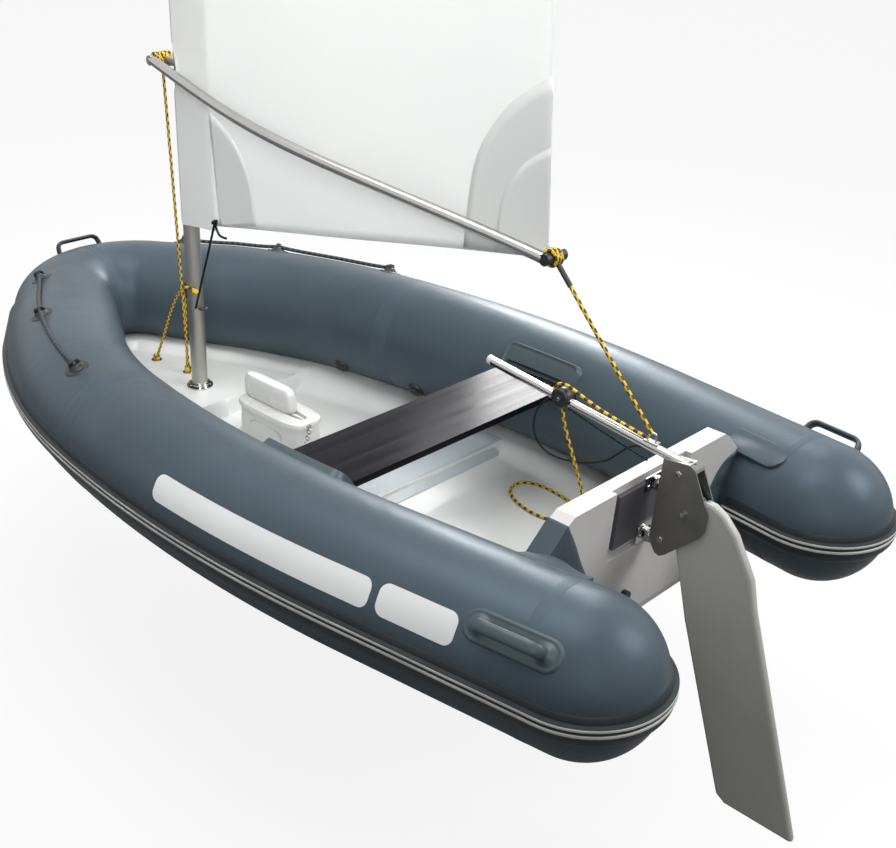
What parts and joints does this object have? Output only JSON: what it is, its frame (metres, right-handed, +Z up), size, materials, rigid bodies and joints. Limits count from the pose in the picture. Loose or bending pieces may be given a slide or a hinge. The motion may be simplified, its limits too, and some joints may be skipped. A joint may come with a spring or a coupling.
{
  "type": "rigid inflatable sailing dinghy",
  "caption": "Inflatable rib boat with a rigid white hull, blue-grey tubes, a thwart, daggerboard, kick-up rudder, mast, wishbone boom and loose-footed sail.",
  "frame": {"origin": "on the centreline amidships, at the waterline", "axes": "+X forward, +Y to port, +Z up"},
  "size_m": [2.8712, 1.4894, 3.9036],
  "materials": {
    "tube_fabric": "satin coated fabric, blue-grey",
    "strake_rubber": "dark rubber with two light stripes",
    "gelcoat": "white gelcoat",
    "pad_plastic": "dark grey plastic",
    "thwart_board": "dark varnished board",
    "holder_rubber": "blue-grey rubber",
    "white_plastic": "white laminate",
    "polished_steel": "polished stainless steel",
    "alloy": "clear anodised aluminium",
    "stock_alloy": "dull grey anodised plate",
    "black_plastic": "black plastic",
    "braid": "yellow and black braided rope",
    "dark_cord": "dark braided cord",
    "sailcloth": "white sailcloth"
  },
  "bodies": {
    "hull": {"bow_handle": "holder_rubber", "cross_beam": "gelcoat", "daggerboard_case": "gelcoat", "deck_moulding": "gelcoat", "drain_plug": "black_plastic", "gudgeon_lower": "polished_steel", "gudgeon_upper": "polished_steel", "hull_shell": "gelcoat", "inflation_valves": "holder_rubber", "lifeline_patches_port": "holder_rubber", "lifeline_patches_starboard": "holder_rubber", "lifeline_port": "dark_cord", "lifeline_starboard": "dark_cord", "mast_step_ring": "polished_steel", "rub_strake": "strake_rubber", "sheet_tail": "braid", "stern_handle_port": "holder_rubber", "stern_handle_starboard": "holder_rubber", "tail_cone_port": "tube_fabric", "tail_cone_starboard": "tube_fabric", "thwart": "thwart_board", "thwart_holder_port": "holder_rubber", "thwart_holder_starboard": "holder_rubber", "transom": "gelcoat", "transom_flap_port": "tube_fabric", "transom_flap_starboard": "tube_fabric", "transom_pad": "pad_plastic", "tube_aft_port": "tube_fabric", "tube_aft_starboard": "tube_fabric", "tube_bow_port": "tube_fabric", "tube_bow_starboard": "tube_fabric"},
    "rig": {"mast": "alloy", "mast_cap": "black_plastic", "sail": "sailcloth", "boom_arm_port": "alloy", "boom_arm_starboard": "alloy", "boom_end_fitting": "black_plastic", "boom_front_fitting": "black_plastic", "mast_cleat": "black_plastic", "mast_eye": "polished_steel"},
    "rudder": {"rudder_stock": "stock_alloy", "pintles": "polished_steel", "tiller": "alloy", "blade_pivot_pin": "polished_steel", "downhaul_line": "dark_cord", "tiller_ratchet": "black_plastic"},
    "blade": {"rudder_blade": "white_plastic"},
    "board": {"daggerboard": "white_plastic"}
  },
  "joints": [
    {"name": "mast_turn", "type": "hinge", "parent": "hull", "child": "rig", "pos_m": [0.65, 0, 0], "axis": [0, 0, 1], "range_deg": [-85, 85]},
    {"name": "rudder_turn", "type": "hinge", "parent": "hull", "child": "rudder", "pos_m": [-1.029, 0, 0.25], "axis": [-0.061, 0, 0.9981], "range_deg": [-45, 45]},
    {"name": "blade_kick", "type": "hinge", "parent": "rudder", "child": "blade", "pos_m": [-1.118, 0, 0.291], "axis": [0, 1, 0], "range_deg": [-14, 65]},
    {"name": "board_lift", "type": "slide", "parent": "hull", "child": "board", "axis": [0, 0, 1], "range_m": [0, 0.38]}
  ]
}
